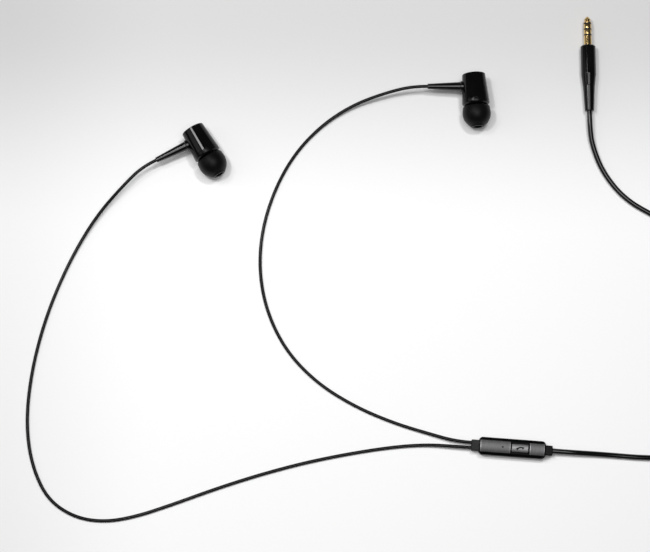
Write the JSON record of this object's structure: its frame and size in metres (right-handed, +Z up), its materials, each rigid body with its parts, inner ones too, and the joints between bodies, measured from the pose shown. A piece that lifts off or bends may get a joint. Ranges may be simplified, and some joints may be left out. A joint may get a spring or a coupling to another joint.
{
  "type": "wired earphones",
  "caption": "Wired in-ear earphones with soft ear tips, a cord that splits at an in-line remote with a call button, spare cord in a tied coil, and a straight headset plug.",
  "frame": {"origin": "on the table, in the middle of the box round the two earbuds and the remote", "axes": "+Z up from the table, +Y the way the plug points and away from the viewer, +X to the right"},
  "size_m": [0.3259, 0.2322, 0.0129],
  "materials": {
    "housing": "gloss",
    "tip_silicone": "matte",
    "relief_rubber": "satin",
    "cord_jacket": "gloss",
    "tie_rubber": "matte",
    "remote_plastic": "satin",
    "plug_plastic": "satin",
    "driver_plastic": "matte",
    "grey_metal": "brushed",
    "button_metal": "satin",
    "mesh_steel": "satin",
    "steel": "satin",
    "magnet": "polished",
    "copper": "satin",
    "gold": "polished",
    "film": "satin",
    "circuit_board": "satin"
  },
  "bodies": {
    "earphones": {"left_barrel": "housing", "left_rear_cap": "housing", "left_front_cover": "housing", "left_nozzle_mesh": "mesh_steel", "left_driver_frame": "driver_plastic", "left_driver_board": "circuit_board", "left_yoke": "steel", "left_magnet": "magnet", "left_pole_plate": "steel", "left_driver_grille": "mesh_steel", "left_strain_relief": "relief_rubber", "left_cord_knot": "cord_jacket", "left_lead_wires": "copper", "right_barrel": "housing", "right_rear_cap": "housing", "right_front_cover": "housing", "right_nozzle_mesh": "mesh_steel", "right_driver_frame": "driver_plastic", "right_driver_board": "circuit_board", "right_yoke": "steel", "right_magnet": "magnet", "right_pole_plate": "steel", "right_driver_grille": "mesh_steel", "right_strain_relief": "relief_rubber", "right_cord_knot": "cord_jacket", "right_lead_wires": "copper", "remote_back_shell": "remote_plastic", "remote_front_shell": "remote_plastic", "microphone_plate": "grey_metal", "end_plate": "grey_metal", "switch_dome": "steel", "switch_base": "driver_plastic", "remote_board": "circuit_board", "microphone": "steel", "microphone_gasket": "relief_rubber", "splitter_collar": "relief_rubber", "cable_collar": "relief_rubber", "remote_cord_ends": "cord_jacket", "plug_strain_relief": "relief_rubber", "plug_shell": "plug_plastic", "plug_core": "driver_plastic", "plug_cord_end": "cord_jacket", "plug_tip_contact": "gold", "plug_ring_1_contact": "gold", "plug_ring_2_contact": "gold", "plug_sleeve_contact": "gold", "plug_insulators": "driver_plastic", "left_cord": "cord_jacket", "right_cord": "cord_jacket", "main_cord_remote_side": "cord_jacket", "main_cord_coil": "cord_jacket", "main_cord_plug_side": "cord_jacket", "cord_tie": "tie_rubber"},
    "call_button": {"call_button": "button_metal"},
    "left_ear_tip": {"left_ear_tip": "tip_silicone"},
    "left_voice_coil": {"left_voice_coil": "copper", "left_diaphragm": "film"},
    "right_ear_tip": {"right_ear_tip": "tip_silicone"},
    "right_voice_coil": {"right_voice_coil": "copper", "right_diaphragm": "film"}
  },
  "joints": [
    {"name": "call_button_press", "type": "slide", "parent": "earphones", "child": "call_button", "axis": [0, 0, -1], "range_m": [0, 0.0003], "stiffness_N_per_m": 6600, "deforming": ["switch_dome"]},
    {"name": "left_ear_tip_pull", "type": "slide", "parent": "earphones", "child": "left_ear_tip", "axis": [0.5075, -0.8616, 0], "range_m": [0, 0.0055]},
    {"name": "right_ear_tip_pull", "type": "slide", "parent": "earphones", "child": "right_ear_tip", "axis": [0.0645, -0.9979, 0], "range_m": [0, 0.0055]},
    {"name": "left_voice_coil_travel", "type": "slide", "parent": "earphones", "child": "left_voice_coil", "axis": [0.5075, -0.8616, 0], "range_m": [-0.00015, 0.00015], "stiffness_N_per_m": 300},
    {"name": "right_voice_coil_travel", "type": "slide", "parent": "earphones", "child": "right_voice_coil", "axis": [0.0645, -0.9979, 0], "range_m": [-0.00015, 0.00015], "stiffness_N_per_m": 300}
  ]
}
